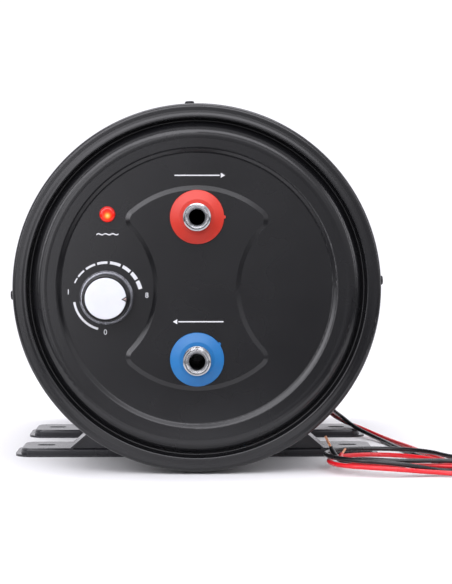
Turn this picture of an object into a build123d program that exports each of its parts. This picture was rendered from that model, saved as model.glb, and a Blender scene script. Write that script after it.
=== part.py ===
from build123d import *
import math
import os

# Round storage water heater for a caravan or camper, heated from its 12 V battery.
# Lengths are in millimetres. X runs to the right as seen from the front, Y to the
# back and Z up. The origin is on the floor, under the middle of the whole heater.
# Depths named "back" are measured from the front rim towards the rear of the drum.

os.makedirs("parts", exist_ok=True)

# Whole drum
drum_dia = 280.0
drum_length = 400.0
floor_gap = 2.0
overrun = 1.0
slip_fit = 0.1
foam_fit = 0.3

# Pressed end covers
cover_sheet = 1.0
skirt_depth = 24.0
rim_width = 9.2
rim_round = 3.0
rim_inner_round = 1.2
groove_width = 5.2
groove_draft = 1.2
groove_depth = 9.0
groove_round = 1.5
shoulder_width = 2.6
shoulder_round = 5.5
panel_rise = 1.0
ledge_width = 15.4
step_width = 3.2
step_depth = 2.0
step_round = 2.5

# Hourglass pressed into the front panel
press_radius = 78.0
press_waist = 33.0
press_side_radius = 66.0
press_corner = 9.0
press_height = 1.8
press_wall = 3.5

# Outer shell and its lock seam
shell_sheet = 0.8
shell_fit = 0.2
shell_setback = 4.0
seam_width = 9.0
seam_height = 1.4

# Radial screws of the covers
screw_shank_dia = 3.5
screw_length = 9.0
screw_head_dia = 7.2
screw_head_height = 2.3
screw_round_share = 0.8
screw_back = 13.0
screw_tilt = 2.3
screw_step = 90.0
screw_count = 3

# Pressed feet
foot_width = 298.0
foot_depth = 58.0
foot_height = 6.5
foot_sheet = 1.8
foot_lip = 4.5
foot_corner = 14.0
foot_edge_round = 2.2
foot_pitch = 131.0
ramp_run = 26.0
ramp_rise = 22.5
ramp_tuck = 2.77
ramp_edge = 2.4
slot_margin = 24.0
slot_length = 15.0
slot_width = 7.5
rivet_dia = 5.0
rivet_head_dia = 9.0
rivet_head_height = 2.0
rivet_angle = 26.0
rivet_spread = 26.0

# Stainless inner tank, between the crowns of its dished ends
tank_sheet = 1.0
front_crown_back = 44.35
rear_crown_gap = 15.35
dish_radius = 190.0
dish_skirt = 8.0
dish_knuckle = 12.0

# Water connections, half inch pipe thread
port_pitch = 108.0
port_reach = 27.0
nipple_dia = 20.955
nipple_bore = 12.0
nipple_chamfer = 1.6
nipple_mouth = 1.2
nipple_inside = 6.0
thread_core_dia = 18.631
relief_gap = 0.8
relief_width = 2.4
port_clearance = 0.6
socket_depth = 8.0
dip_dia = 14.0
dip_wall = 0.9
pickup_run = 26.0
pickup_rise = 34.0
pickup_bend = 14.0
spreader_length = 170.0
spreader_hole_dia = 4.0
spreader_hole_pitch = 20.0
spreader_hole_count = 6

# Coloured collars round the connections
collar_dia = 41.0
collar_height = 4.2
collar_edge = 1.4
collar_face_dia = 27.0
collar_nub_dia = 2.6
hot_nub_angle = 0.0
cold_nub_angle = 35.0

# Immersion element and its screwed plug
element_x = 52.0
boss_dia = 50.0
boss_bore = 42.0
boss_front_back = 40.0
boss_inside = 2.0
gasket_sheet = 2.0
plug_flats = 50.0
plug_head = 9.0
plug_barrel = 14.0
sheath_dia = 8.0
sheath_pitch = 18.0
sheath_length = 190.0
terminal_dia = 5.0
terminal_length = 9.0
terminal_bush_dia = 9.0
terminal_bush = 3.0
terminal_pitch = 24.0

# Capillary thermostat
knob_inset = 34.6
knob_z = -7.0
thermostat_width = 34.0
thermostat_height = 44.0
thermostat_depth = 20.0
thermostat_round = 3.0
thermostat_neck_dia = 9.0
thermostat_screw_pitch = 28.0
thermostat_screw_dia = 4.0
thermostat_screw_head = 7.0
thermostat_head_height = 1.6
spindle_dia = 6.0
spindle_flat = 1.5
spindle_fit = 0.08
spindle_foot = 3.0

# Sensor pocket, bulb and capillary tube
pocket_x = -42.0
pocket_z = 38.0
pocket_dia = 9.0
pocket_bore = 7.4
pocket_length = 110.0
pocket_front = 8.0
bulb_dia = 6.6
bulb_length = 80.0
bulb_set_back = 14.0
capillary_dia = 2.0

# Control knob
knob_skirt_dia = 41.0
knob_skirt_height = 3.0
knob_gap = 0.7
knob_height = 18.5
knob_grip_dia = 37.5
knob_top_dia = 35.6
knob_edge_round = 1.2
knob_wall = 2.2
knob_hub_dia = 12.0
face_dia = 31.0
face_sheet = 1.6
face_proud = 0.5
face_fit = 0.12
pointer_length = 3.6
pointer_width = 4.4
pointer_sheet = 1.2
pointer_turn = -2.0

# Indicator lamp
lamp_shift = 0.8
lamp_z = 56.1
lens_dia = 12.0
lens_height = 3.6
lens_flange = 1.2
lamp_dia = 9.6
lamp_length = 24.0
clip_dia = 16.0
clip_sheet = 1.2

# Manual-reset thermal cut-out, clamped to the middle of the tank's front end
cutout_cup_dia = 16.0
cutout_cup = 4.0
cutout_dia = 20.0
cutout_base = 6.0
cutout_neck_dia = 12.0
cutout_neck = 5.0
cutout_seat = 0.05
button_dia = 4.0
button_length = 9.0
button_travel = 1.0
button_fit = 0.1
button_collar_dia = 6.0
button_collar = 1.5
strap_length = 62.0
strap_width = 19.0
strap_sheet = 1.5
strap_pitch = 48.0
stud_dia = 4.0
stud_length = 17.0
nut_flats = 7.0
nut_height = 3.2

# Insulation
foam_wall = 33.0
foam_front_back = 66.0
foam_rear_gap = 15.5
foam_disc_gap = 6.4
channel_width = 14.0
channel_depth = 14.5

# Supply leads
wire_dia = 3.6
copper_dia = 2.1
copper_length = 11.0
gland_rear = 65.0
gland_angle = -45.0
gland_dia = 13.0
gland_flange_dia = 18.0
gland_flange = 1.6
gland_neck_dia = 13.0
gland_neck = 4.0
lead_pitch = 5.0
inner_bend = 5.4
soft_share = 0.45

# Routes of the two leads from the gland to the hank: X, back, height
wire_floor = wire_dia / 2
lead_stub = 12.0
lead_last = 18.0
black_route = [
    (118.5, 321.0, 24.5),
    (125.0, 298.0, 17.5),
    (130.6, 268.0, 15.0),
    (138.0, 247.0, 9.6),
    (150.0, 226.0, 4.5),
    (162.0, 190.0, wire_floor),
    (168.5, 150.0, wire_floor),
    (176.0, 110.0, wire_floor),
    (186.0, 75.0, wire_floor),
    (193.0, 40.0, wire_floor),
]
red_route = [
    (116.5, 322.0, 19.5),
    (125.5, 295.0, 12.4),
    (136.0, 263.0, 9.6),
    (146.0, 242.0, 7.6),
    (158.8, 228.0, 3.0),
    (169.0, 192.0, wire_floor),
    (179.5, 152.0, wire_floor),
    (187.0, 112.0, wire_floor),
    (196.0, 78.0, wire_floor),
    (200.5, 46.0, wire_floor),
]

# Tied hank: its waist, its smaller lobe to the right and its longer lobe to the left
hank_x = 212.0
hank_back = -9.0
hank_turn = -26.0
near_tip = 66.0
near_shoulder = 34.0
near_half = 26.0
near_step = 8.0
waist_half = 12.0
waist_step = 10.0
tip_step = 10.0
red_tip = 116.0
red_shoulder = 82.0
red_half = 36.0
red_step = 20.0
black_tip = 121.0
black_shoulder = 76.0
black_half = 38.0
black_step = 10.0
black_shift = 4.0
black_nest = 8.0
layer_step = 4.2
straight_angle = 0.01
turn_nodes = 8
first_node = -1
climb_node = 3
last_node = 12
points_per_dia = 2

# Loose ends of the leads: X, back, height, and the direction there
black_tail = [(108.0, 18.0, 10.6), (103.9, 30.0, 17.0)]
black_tail_shares = [(-0.2, 0.9, 0.25), (-0.35, 0.6, 0.72)]
red_tail = [(113.0, 38.0, 10.5)]
red_tail_shares = [(0.3, 0.9, 0.25)]

# Band round the waist of the hank
tie_width = 5.0
tie_sheet = 0.8
tie_fit = 0.35
tie_corner = 2.6

# Places worked out from the sizes above
axis_z = floor_gap + drum_dia / 2
front_y = port_reach - (drum_length + panel_rise + port_reach) / 2
rear_y = front_y + drum_length
shell_outer = drum_dia / 2 - cover_sheet - shell_fit
shell_inner = shell_outer - shell_sheet
tank_dia = 2 * (shell_inner - foam_wall)
tank_radius = tank_dia / 2
dish_centre = dish_skirt - math.sqrt(dish_radius**2 - tank_radius**2)
tank_front_back = front_crown_back + dish_radius + dish_centre
tank_rear_back = drum_length - rear_crown_gap - dish_radius - dish_centre
gland_back = drum_length - gland_rear
groove_inner = drum_dia / 2 - rim_width - groove_draft - groove_width
panel_edge = groove_inner - shoulder_width - ledge_width - step_width
knob_x = knob_inset - panel_edge
lamp_x = knob_x + lamp_shift
slot_pitch = foot_width - 2 * slot_margin
panel_z = panel_rise - step_depth
pressed_z = panel_z + press_height

front = Plane(origin=(0, front_y, axis_z), x_dir=(1, 0, 0), z_dir=(0, -1, 0))
rear = Plane(origin=(0, rear_y, axis_z), x_dir=(-1, 0, 0), z_dir=(0, 1, 0))


def save(name, shape):
    shape.label = name
    export_step(shape, f"parts/{name}.step")


# A solid turned about local Z from a closed outline of radius and height
def turned(points, radii=None):
    if radii is None:
        outline = Polyline(*points, close=True)
    else:
        outline = FilletPolyline(*points, radius=radii, close=True)
    return revolve(Plane.XZ * make_face(outline), Axis.Z)


# A round bar along local Z
def rod(dia, bottom, top):
    return Pos(0, 0, bottom) * Cylinder(
        dia / 2, top - bottom, align=(Align.CENTER, Align.CENTER, Align.MIN)
    )


def tube(outer_dia, inner_dia, bottom, top):
    return rod(outer_dia, bottom, top) - rod(inner_dia, bottom - overrun, top + overrun)


# The place on the drum at an angle from +X, with local Z pointing outwards
def radial(angle, back, distance):
    out = (math.cos(math.radians(angle)), 0, math.sin(math.radians(angle)))
    spot = (out[0] * distance, front_y + back, axis_z + out[2] * distance)
    return Plane(origin=spot, x_dir=(0, 1, 0), z_dir=out)


# A round bar along a path that starts square to its first end
def swept(path, dia):
    start = Plane(origin=path @ 0, z_dir=path % 0)
    return sweep(start * Circle(dia / 2), path=path)


# Arc radii of a hanging lead: a share of the shorter run over the half turn's tangent
def soft_radii(points):
    radii = []
    for before, here, after in zip(points, points[1:], points[2:]):
        first = Vector(*here) - Vector(*before)
        second = Vector(*after) - Vector(*here)
        turn = math.radians(first.get_angle(second))
        shorter = min(first.length, second.length)
        radii.append(soft_share * shorter / math.tan(turn / 2))
    return radii


# Moves an open outline sideways by one sheet, for the inside of a pressing
def inner_skin(points, radii, sheet):
    ways = []
    for (r0, z0), (r1, z1) in zip(points, points[1:]):
        run = math.hypot(r1 - r0, z1 - z0)
        ways.append(((z0 - z1) / run, (r1 - r0) / run))
    moved, rounds = [], []
    for i, (r, z) in enumerate(points):
        a, b = ways[max(i - 1, 0)], ways[min(i, len(ways) - 1)]
        share = sheet / (1 + a[0] * b[0] + a[1] * b[1])
        moved.append((r + (a[0] + b[0]) * share, z + (a[1] + b[1]) * share))
        if 0 < i < len(points) - 1:
            outside_corner = a[0] * b[1] - a[1] * b[0] > 0
            rounds.append(radii[i - 1] + (-sheet if outside_corner else sheet))
    return moved, rounds


# The pressed cover without its holes, rim at local Z zero and skirt below
def pressed_cover(pressing=None):
    rim = drum_dia / 2
    groove_outer = rim - rim_width
    floor_outer = groove_outer - groove_draft
    shoulder = groove_inner - shoulder_width
    ledge = shoulder - ledge_width
    outer = [
        (rim, -skirt_depth),
        (rim, 0),
        (groove_outer, 0),
        (floor_outer, -groove_depth),
        (groove_inner, -groove_depth),
        (shoulder, panel_rise),
        (ledge, panel_rise),
        (panel_edge, panel_z),
        (0, panel_z),
    ]
    radii = [
        rim_round,
        rim_inner_round,
        groove_round,
        groove_round,
        shoulder_round,
        step_round,
        step_round,
    ]
    inner, inner_radii = inner_skin(outer, radii, cover_sheet)
    foot = -skirt_depth
    body = turned(outer + [(0, foot)], [0] + radii + [0, 0])
    room = [(inner[0][0], foot - overrun)] + inner[1:] + [(0, foot - overrun)]
    hollow = turned(room, [0] + inner_radii + [0, 0])
    if pressing is not None:
        body += pressing
        hollow += Pos(0, 0, -cover_sheet) * pressing
    return body - hollow


# The hourglass outline, drawn in by inset: a circle with both sides cut by circles
def hourglass(inset):
    side = press_waist + press_side_radius
    cut = Circle(press_side_radius + inset)
    outline = Circle(press_radius - inset) - Pos(side, 0) * cut
    outline -= Pos(-side, 0) * Rot(0, 0, 180) * cut
    return fillet(outline.vertices(), press_corner - inset)


cover_screw_angles = [screw_tilt + screw_step * i for i in range(screw_count)]
screw_hole = rod(screw_shank_dia + 2 * slip_fit, -screw_length, overrun)

hot = (0, port_pitch / 2)
cold = (0, -port_pitch / 2)
port_hole = rod(nipple_dia + 2 * port_clearance, -skirt_depth, port_reach)
lamp_hole = rod(lamp_dia + 2 * slip_fit, -skirt_depth, port_reach)
neck_hole = rod(thermostat_neck_dia + 2 * slip_fit, -skirt_depth, port_reach)
fixing_hole = rod(thermostat_screw_dia + 2 * slip_fit, -skirt_depth, port_reach)
fixing_spots = [
    (knob_x + side * thermostat_screw_pitch / 2, knob_z) for side in (-1, 1)
]


def front_cover():
    base = Pos(0, 0, panel_z) * hourglass(0)
    top = Pos(0, 0, pressed_z) * hourglass(press_wall)
    cover = pressed_cover(loft([base.face(), top.face()], ruled=True))
    for spot in (hot, cold):
        cover -= Pos(*spot) * port_hole
    cover -= Pos(lamp_x, lamp_z) * lamp_hole
    cover -= Pos(knob_x, knob_z) * neck_hole
    for spot in fixing_spots:
        cover -= Pos(*spot) * fixing_hole
    cover = front * cover
    for angle in cover_screw_angles:
        cover -= radial(angle, screw_back, drum_dia / 2) * screw_hole
    return cover


def rear_cover():
    cover = rear * pressed_cover()
    for angle in cover_screw_angles:
        cover -= radial(angle, drum_length - screw_back, drum_dia / 2) * screw_hole
    return cover


def pan_screw(shank_dia, length, head_dia, head_height):
    outline = [
        (0, -length),
        (shank_dia / 2, -length),
        (shank_dia / 2, 0),
        (head_dia / 2, 0),
        (head_dia / 2, head_height),
        (0, head_height),
    ]
    return turned(outline, [0, 0, 0, 0, head_height * screw_round_share, 0])


def cover_screws(back):
    screw = pan_screw(screw_shank_dia, screw_length, screw_head_dia, screw_head_height)
    return Compound(
        [radial(angle, back, drum_dia / 2) * screw for angle in cover_screw_angles]
    )


# Outer shell: rolled sheet, closed by a folded seam along the bottom
def outer_shell():
    ends = (-(drum_length - shell_setback), -shell_setback)
    shell = tube(2 * shell_outer, 2 * shell_inner, *ends)
    fold = tube(2 * shell_inner, 2 * (shell_inner - seam_height), *ends)
    fold &= Pos(0, -shell_inner, -drum_length / 2) * Box(
        seam_width, 4 * seam_height, drum_length
    )
    shell = front * (shell + fold)
    for back in (screw_back, drum_length - screw_back):
        for angle in cover_screw_angles:
            shell -= radial(angle, back, drum_dia / 2) * screw_hole
    for place in rivet_places():
        shell -= place * rod(rivet_dia + 2 * slip_fit, -skirt_depth, skirt_depth)
    shell -= radial(gland_angle, gland_back, shell_outer) * rod(
        gland_dia + 2 * slip_fit, -2 * shell_sheet, 2 * shell_sheet
    )
    return shell


foot_backs = [drum_length / 2 + side * foot_pitch / 2 for side in (-1, 1)]
saddle_radius = shell_outer + slip_fit
saddle_outer = saddle_radius + foot_sheet
crest = foot_height + ramp_rise
ramp_top = math.sqrt(saddle_radius**2 - (axis_z - crest) ** 2) - ramp_tuck
ramp_foot = ramp_top + ramp_run


# Rivets sit on the underside of the saddles, local Z pointing out of the drum
def rivet_places():
    places = []
    for back in foot_backs:
        for along in (-1, 1):
            for side in (-1, 1):
                angle = -90 + side * rivet_angle
                at = back + along * rivet_spread / 2
                places.append(radial(angle, at, saddle_outer))
    return places


def foot_plan(inset):
    plate = Rectangle(foot_width - 2 * inset, foot_depth - 2 * inset)
    return fillet(plate.vertices(), foot_corner - inset)


# Side view of the ramps, its slopes moved in by one sheet for the hollow
def ramp_block(sheet, depth):
    slope = math.atan2(ramp_rise, ramp_run)
    low = ramp_foot - sheet / math.sin(slope)
    high = ramp_top - sheet / math.sin(slope)
    outline = Polyline(
        (-low, 0),
        (-low, foot_height),
        (-high, crest),
        (high, crest),
        (low, foot_height),
        (low, 0),
        close=True,
    )
    return extrude(Plane.XZ * make_face(outline), depth / 2, both=True)


def drum_bar(radius):
    bar = Cylinder(radius, 2 * foot_depth)
    return Pos(0, 0, axis_z) * Rot(90, 0, 0) * bar


def foot():
    tray_depth = foot_depth - 2 * foot_lip
    web_depth = tray_depth - 2 * ramp_edge
    tray = extrude(foot_plan(foot_lip), foot_height)
    tray = fillet(tray.faces().sort_by(Axis.Z)[-1].edges(), foot_edge_round)
    strip = ramp_block(0, tray_depth) - ramp_block(foot_sheet, tray_depth + overrun)
    outside = extrude(foot_plan(0), foot_sheet) + tray + ramp_block(0, web_depth) + strip
    outside -= drum_bar(saddle_radius)
    inset = foot_lip + foot_sheet
    hollow = extrude(foot_plan(inset), foot_height - foot_sheet)
    hollow += ramp_block(foot_sheet, web_depth - 2 * foot_sheet)
    hollow -= drum_bar(saddle_outer)
    pressing = outside - hollow
    slot = extrude(SlotOverall(slot_length, slot_width), foot_height + overrun)
    for side in (-1, 1):
        pressing -= Pos(side * slot_pitch / 2, 0, 0) * slot
    return pressing


def feet():
    whole = foot()
    hole = rod(rivet_dia + 2 * slip_fit, -skirt_depth, skirt_depth)
    holes = [place * hole for place in rivet_places()]
    found = []
    for back in foot_backs:
        one = Pos(0, front_y + back, 0) * whole
        for cut in holes:
            one -= cut
        found.append(one)
    return found


def foot_rivets():
    inner_end = -(foot_sheet + slip_fit + shell_sheet)
    inner_head = inner_end - rivet_head_height / 2
    outline = [
        (0, inner_head),
        (rivet_head_dia / 2 - slip_fit, inner_head),
        (rivet_head_dia / 2 - slip_fit, inner_end - slip_fit),
        (rivet_dia / 2, inner_end - slip_fit),
        (rivet_dia / 2, slip_fit),
        (rivet_head_dia / 2, slip_fit),
        (0, rivet_head_height + slip_fit),
    ]
    rivet = turned(outline)
    return Compound([place * rivet for place in rivet_places()])


# Depth behind the front rim of the tank's front end, at a distance from the axis
def dish_back(distance):
    return tank_front_back - dish_centre - math.sqrt(dish_radius**2 - distance**2)


def dished_end():
    skins = []
    for shrink in (0, tank_sheet):
        bar = rod(tank_dia - 2 * shrink, -overrun if shrink else 0, 3 * tank_radius)
        skin = bar & Pos(0, 0, dish_centre) * Sphere(dish_radius - shrink)
        rims = [edge for edge in skin.edges() if edge.is_closed]
        knuckle = ShapeList(rims).sort_by(Axis.Z)[-1]
        skins.append(fillet(knuckle, dish_knuckle - shrink))
    return skins[0] - skins[1]


pocket_distance = math.hypot(pocket_x, pocket_z)
pocket_mouth = -(dish_back(pocket_distance) - pocket_front)


def tank_front_end():
    end = Pos(0, 0, -tank_front_back) * dished_end()
    depth = (-tank_front_back, 0)
    for spot in (hot, cold):
        end -= Pos(*spot) * rod(nipple_dia + slip_fit, *depth)
    end -= Pos(element_x, 0) * rod(boss_dia + slip_fit, *depth)
    end -= Pos(pocket_x, pocket_z) * rod(pocket_dia + slip_fit, *depth)
    return front * end


nipple_end = -(dish_back(port_pitch / 2) + nipple_inside)
socket_floor = nipple_end + socket_depth
relief_back = pressed_z + collar_height + relief_gap
thread_back = relief_back + relief_width


def nipple():
    outer, bore = nipple_dia / 2, nipple_bore / 2
    body = turned(
        [
            (bore, nipple_end),
            (outer, nipple_end),
            (outer, port_reach - nipple_chamfer),
            (outer - nipple_chamfer, port_reach),
            (bore + nipple_mouth, port_reach),
            (bore, port_reach - nipple_mouth),
        ]
    )
    body -= tube(nipple_dia + overrun, thread_core_dia, relief_back, thread_back)
    return body - rod(dip_dia + slip_fit, nipple_end - overrun, socket_floor)


# Hot water is drawn from the top of the tank through a bent tube
def outlet_pickup():
    back = front_y - socket_floor
    line = FilletPolyline(
        (hot[0], back, axis_z + hot[1]),
        (hot[0], back + pickup_run, axis_z + hot[1]),
        (hot[0], back + pickup_run, axis_z + hot[1] + pickup_rise),
        radius=pickup_bend,
    )
    ring = Circle(dip_dia / 2) - Circle(dip_dia / 2 - dip_wall)
    return sweep(Plane(origin=line @ 0, z_dir=line % 0) * ring, path=line)


# Cold water is spread along the bottom through holes that face down
def inlet_spreader():
    end = socket_floor - spreader_length
    pipe = rod(dip_dia, end, socket_floor)
    pipe -= rod(dip_dia - 2 * dip_wall, end + dip_wall, socket_floor + overrun)
    hole = Rot(90, 0, 0) * rod(spreader_hole_dia, 0, dip_dia)
    for i in range(spreader_hole_count):
        at = end + spreader_hole_pitch * (i + 1 / 2)
        pipe -= Pos(0, 0, at) * hole
    return front * Pos(*cold) * pipe


# Collar like a shallow cone, with the stub of its moulding gate on the edge
def collar(spot, nub_angle):
    hole = nipple_dia / 2 + slip_fit
    outer = collar_dia / 2
    body = turned(
        [
            (hole, 0),
            (outer, 0),
            (outer, collar_edge),
            (collar_face_dia / 2, collar_height),
            (hole, collar_height),
        ],
        [0, 0, collar_edge / 2, collar_height / 2, 0],
    )
    body += Rot(0, 0, nub_angle) * Pos(outer, 0, 0) * rod(collar_nub_dia, 0, collar_edge)
    return front * Pos(spot[0], spot[1], pressed_z) * body


boss_end = -(dish_back(element_x + boss_dia / 2) + boss_inside)
gasket_front = gasket_sheet - boss_front_back
plug_front = gasket_front + plug_head
plug_end = -boss_front_back - plug_barrel


def element_plug():
    head = extrude(RegularPolygon(plug_flats / 2, 6, major_radius=False), plug_head)
    barrel = rod(boss_bore - 2 * slip_fit, plug_end, gasket_front)
    return front * Pos(element_x, 0) * (Pos(0, 0, gasket_front) * head + barrel)


def heating_element():
    half = sheath_pitch / 2
    back = front_y - plug_end
    loops = []
    for side in (-1, 1):
        height = axis_z + side * half
        line = FilletPolyline(
            (element_x - half, back, height),
            (element_x - half, back + sheath_length, height),
            (element_x + half, back + sheath_length, height),
            (element_x + half, back, height),
            radius=half - slip_fit,
        )
        loops.append(swept(line, sheath_dia))
    return Compound(loops)


terminal_spots = [(element_x, side * terminal_pitch / 2) for side in (-1, 1)]


def terminal_bushes():
    bush = tube(
        terminal_bush_dia, terminal_dia + 2 * slip_fit, plug_front, plug_front + terminal_bush
    )
    return Compound([front * Pos(*spot) * bush for spot in terminal_spots])


terminal_end = plug_front + terminal_bush + terminal_length


def element_terminals():
    stud = rod(terminal_dia, plug_front, terminal_end)
    return Compound([front * Pos(*spot) * stud for spot in terminal_spots])


panel_back = panel_z - cover_sheet
thermostat_end = panel_back - thermostat_depth
neck_top = panel_z + 1.5 * cover_sheet
spindle_end = thermostat_end + spindle_foot
spindle_hole = spindle_dia + 2 * spindle_fit


def thermostat_body():
    body = Box(
        thermostat_width,
        thermostat_height,
        thermostat_depth,
        align=(Align.CENTER, Align.CENTER, Align.MAX),
    )
    body = fillet(body.edges().filter_by(Axis.Z), thermostat_round)
    body = Pos(0, 0, panel_back) * body + rod(thermostat_neck_dia, panel_back, neck_top)
    body -= rod(spindle_hole, spindle_end - slip_fit, neck_top + overrun)
    for side in (-1, 1):
        body -= Pos(side * thermostat_screw_pitch / 2, 0) * rod(
            thermostat_screw_dia + 2 * slip_fit, panel_back - thermostat_depth / 2, panel_back
        )
    return front * Pos(knob_x, knob_z) * body


def thermostat_screws():
    length = cover_sheet + thermostat_depth / 3
    screw = pan_screw(
        thermostat_screw_dia, length, thermostat_screw_head, thermostat_head_height
    )
    return Compound(
        [front * Pos(spot[0], spot[1], panel_z) * screw for spot in fixing_spots]
    )


bulb_front = pocket_mouth - bulb_set_back


def sensor_pocket():
    end = pocket_mouth - pocket_length
    wall = (pocket_dia - pocket_bore) / 2
    pocket = rod(pocket_dia, end, pocket_mouth)
    pocket -= rod(pocket_bore, end + wall, pocket_mouth + overrun)
    return front * Pos(pocket_x, pocket_z) * pocket


def sensor_bulb():
    outline = [
        (0, bulb_front - bulb_length),
        (bulb_dia / 2, bulb_front - bulb_length),
        (bulb_dia / 2, bulb_front),
        (0, bulb_front),
    ]
    bulb = turned(outline, [0, bulb_dia / 4, bulb_dia / 4, 0])
    return front * Pos(pocket_x, pocket_z) * bulb


# Thin tube from the thermostat's back to the bulb in its pocket
def capillary_tube():
    mouth = front_y - pocket_mouth - pocket_front
    outlet = knob_z + thermostat_height / 4
    line = FilletPolyline(
        (pocket_x, front_y - bulb_front, axis_z + pocket_z),
        (pocket_x, mouth, axis_z + pocket_z),
        (knob_x, mouth, axis_z + outlet),
        (knob_x, front_y - thermostat_end, axis_z + outlet),
        radius=2 * capillary_dia,
    )
    return swept(line, capillary_dia)


knob_bottom = panel_z + knob_gap
knob_top = panel_z + knob_height
face_floor = knob_top - face_sheet + face_proud
knob_roof = face_floor - knob_wall
knob_place = front * Pos(knob_x, knob_z)


def knob_body():
    skirt, grip, top = knob_skirt_dia / 2, knob_grip_dia / 2, knob_top_dia / 2
    outline = [
        (0, knob_bottom),
        (skirt, knob_bottom),
        (skirt, knob_bottom + knob_skirt_height / 2),
        (grip, knob_bottom + knob_skirt_height),
        (top, knob_top),
        (0, knob_top),
    ]
    body = turned(outline, [0, 0, 0, 0, knob_edge_round, 0])
    room = [
        (0, knob_bottom - overrun),
        (skirt - knob_wall, knob_bottom - overrun),
        (skirt - knob_wall, knob_bottom + knob_skirt_height / 2),
        (top - knob_wall, knob_bottom + knob_skirt_height),
        (top - knob_wall, knob_roof),
        (0, knob_roof),
    ]
    body -= turned(room)
    body += rod(knob_hub_dia, neck_top + knob_gap, knob_roof)
    body -= rod(face_dia + 2 * face_fit, face_floor, knob_top + overrun)
    bore = rod(spindle_dia + 2 * slip_fit, neck_top, knob_roof)
    return knob_place * (body - (bore - spindle_flat_cut(slip_fit)))


# The flat that keys the knob to the spindle, above the thermostat's neck
def spindle_flat_cut(gap):
    edge = spindle_dia / 2 - spindle_flat + gap
    low = neck_top + knob_gap
    return Pos(edge, -spindle_dia, low) * Box(
        spindle_dia,
        2 * spindle_dia,
        knob_height,
        align=(Align.MIN, Align.MIN, Align.MIN),
    )


def thermostat_spindle():
    bar = rod(spindle_dia, spindle_end, knob_roof - slip_fit)
    return knob_place * (bar - spindle_flat_cut(0))


def pointer_plan(gap):
    half = pointer_width / 2 + gap
    edge = face_dia / 2 + gap
    tip = face_dia / 2 - pointer_length - gap
    return make_face(Polyline((tip, 0), (edge, -half), (edge, half), close=True))


def knob_face():
    disc = rod(face_dia, face_floor, face_floor + face_sheet)
    notch = Pos(0, 0, face_floor) * extrude(pointer_plan(face_fit), 2 * face_sheet)
    return knob_place * (disc - Rot(0, 0, pointer_turn) * notch)


def knob_pointer():
    wedge = extrude(pointer_plan(0), pointer_sheet) & rod(face_dia, 0, pointer_sheet)
    return knob_place * Rot(0, 0, pointer_turn) * Pos(0, 0, face_floor) * wedge


lamp_place = front * Pos(lamp_x, lamp_z)


def lamp_lens():
    radius = lens_dia / 2
    outline = [
        (0, panel_z),
        (radius, panel_z),
        (radius, panel_z + lens_height),
        (0, panel_z + lens_height),
    ]
    return lamp_place * turned(outline, [0, 0, lens_height - lens_flange, 0])


def lamp_body():
    return lamp_place * rod(lamp_dia, panel_z - lamp_length, panel_z)


def lamp_clip():
    ring = tube(clip_dia, lamp_dia + 2 * slip_fit, panel_back - clip_sheet, panel_back)
    return lamp_place * ring


cutout_back = -dish_back(0) + cutout_seat
base_bottom = cutout_back + cutout_cup
shoulder_z = base_bottom + cutout_base
neck_front = shoulder_z + cutout_neck
button_back = base_bottom + button_travel + 2 * slip_fit


def cutout_cup_piece():
    return front * rod(cutout_cup_dia, cutout_back, base_bottom)


def cutout_body():
    body = rod(cutout_dia, base_bottom, shoulder_z)
    body += rod(cutout_neck_dia, shoulder_z, neck_front)
    body -= rod(button_dia + 2 * button_fit, base_bottom + slip_fit, neck_front + overrun)
    body -= rod(
        button_collar_dia + 2 * button_fit,
        base_bottom + slip_fit,
        button_back + button_collar + slip_fit,
    )
    return front * body


def reset_button():
    pin = rod(button_dia, button_back, button_back + button_length)
    pin = fillet(pin.faces().sort_by(Axis.Z)[-1].edges(), button_dia / 8)
    return front * (pin + rod(button_collar_dia, button_back, button_back + button_collar))


strap_front = shoulder_z + strap_sheet
stud_spots = [(0, side * strap_pitch / 2) for side in (-1, 1)]
stud_back = -dish_back(strap_pitch / 2 - stud_dia / 2)


def cutout_strap():
    strap = extrude(SlotOverall(strap_length, strap_width), strap_sheet)
    strap = Pos(0, 0, shoulder_z) * Rot(0, 0, 90) * strap
    strap -= rod(cutout_neck_dia + 2 * slip_fit, base_bottom, neck_front)
    for spot in stud_spots:
        strap -= Pos(*spot) * rod(stud_dia + 2 * slip_fit, base_bottom, neck_front)
    return front * strap


def cutout_studs():
    stud = rod(stud_dia, stud_back, stud_back + stud_length)
    return Compound([front * Pos(*spot) * stud for spot in stud_spots])


def cutout_nuts():
    nut = extrude(RegularPolygon(nut_flats / 2, 6, major_radius=False), nut_height)
    nut -= rod(stud_dia + 2 * slip_fit, -overrun, nut_height + overrun)
    return Compound(
        [front * Pos(spot[0], spot[1], strap_front) * nut for spot in stud_spots]
    )


foam_outer = shell_inner - foam_fit
foam_rear_back = drum_length - foam_rear_gap


def foam_jacket():
    ends = (-foam_rear_back, -foam_front_back)
    foam = tube(2 * foam_outer, tank_dia + 2 * foam_fit, *ends)
    notch = Box(seam_width + 2 * foam_fit, 2 * (seam_height + foam_fit), drum_length)
    foam -= Pos(0, -foam_outer, -drum_length / 2) * notch
    channel = Pos(foam_outer - channel_depth, 0, -gland_back / 2) * Box(
        2 * channel_depth,
        channel_width,
        gland_back + gland_flange_dia,
        align=(Align.MIN, Align.CENTER, Align.CENTER),
    )
    foam -= Rot(0, 0, gland_angle) * channel
    foam = front * foam
    pocket = rod(gland_flange_dia + 2 * foam_fit, -channel_depth, overrun)
    foam -= radial(gland_angle, gland_back, foam_outer) * pocket
    head_room = rod(
        rivet_head_dia + 2 * foam_fit, -(foot_sheet + shell_sheet + 2 * rivet_head_height), 0
    )
    for place in rivet_places():
        foam -= place * head_room
    return foam


def foam_disc():
    near = foam_fit - rear_crown_gap
    far = panel_back - foam_fit
    return rear * rod(2 * (groove_inner - foam_disc_gap), near, far)


gland_outer = gland_flange + gland_neck
lead_join = shell_outer + gland_outer
bore_gap = wire_dia + slip_fit


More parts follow.
